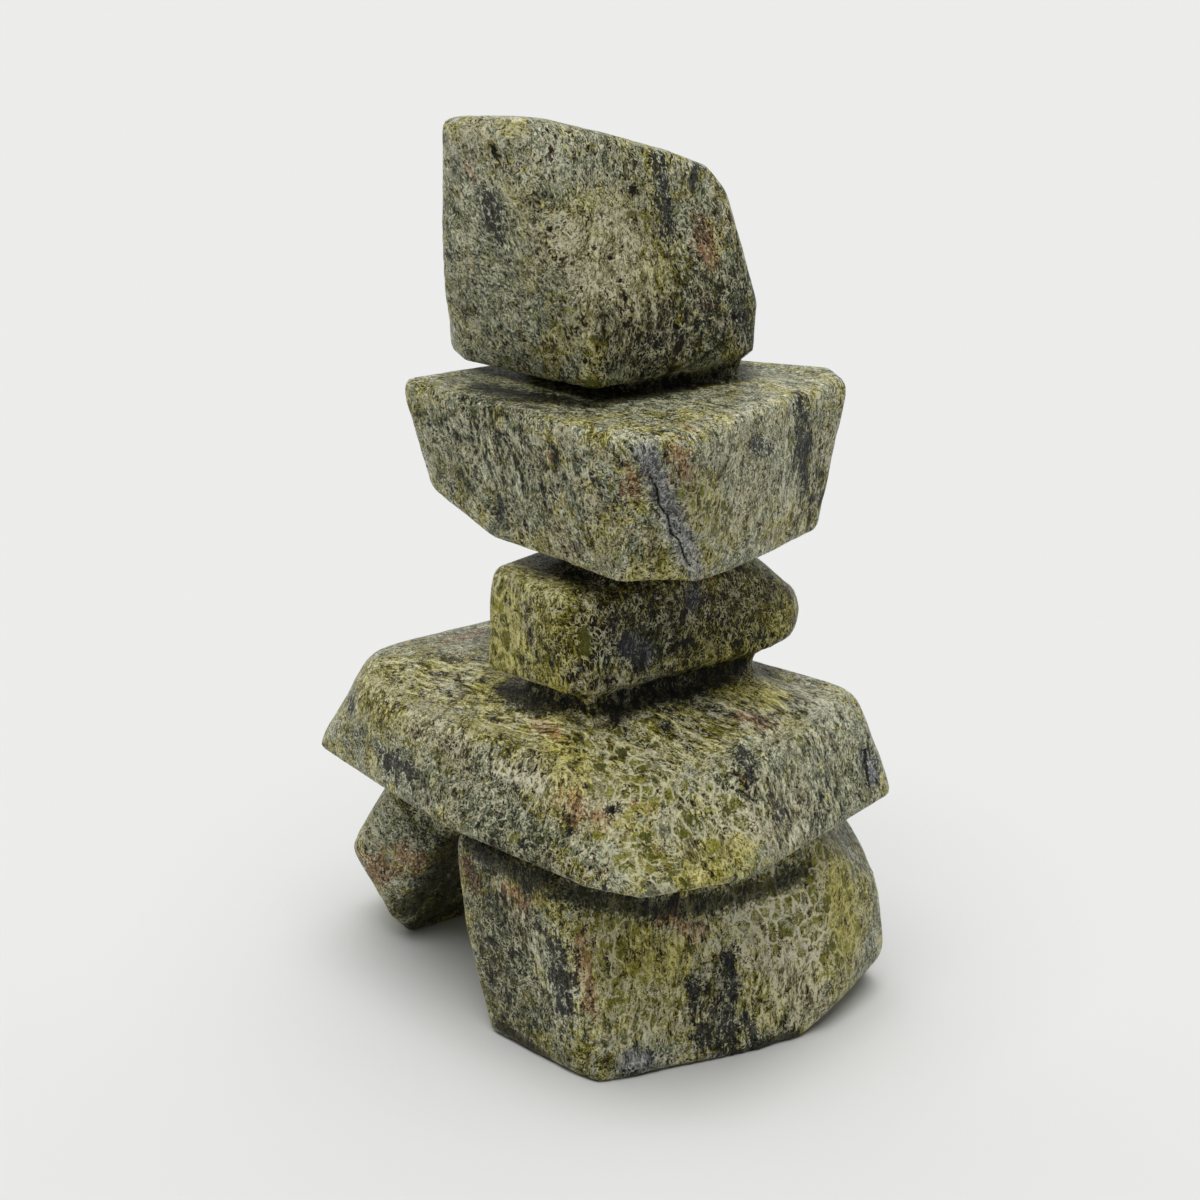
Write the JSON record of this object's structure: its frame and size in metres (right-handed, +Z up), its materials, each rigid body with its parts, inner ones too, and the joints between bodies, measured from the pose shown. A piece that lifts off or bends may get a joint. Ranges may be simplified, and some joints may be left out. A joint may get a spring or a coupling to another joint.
{
  "type": "carved stone inukshuk figure",
  "caption": "Inukshuk figure carved in the round from a single mottled green stone, with splayed legs, a wide slab, a waist block, an overhanging arm stone and a tall slanted head stone.",
  "frame": {"origin": "on the surface that it stands on, under the middle of its outline in plan", "axes": "+Z up, the figure looks along -Y, and its arms and legs are spread along X"},
  "size_m": [0.127, 0.0892, 0.2059],
  "materials": {
    "serpentine": "satin polished green serpentine with pale veins, olive cells, dark blue-grey blotches and rust flecks"
  },
  "bodies": {
    "root": {"inukshuk": "serpentine"}
  },
  "joints": []
}
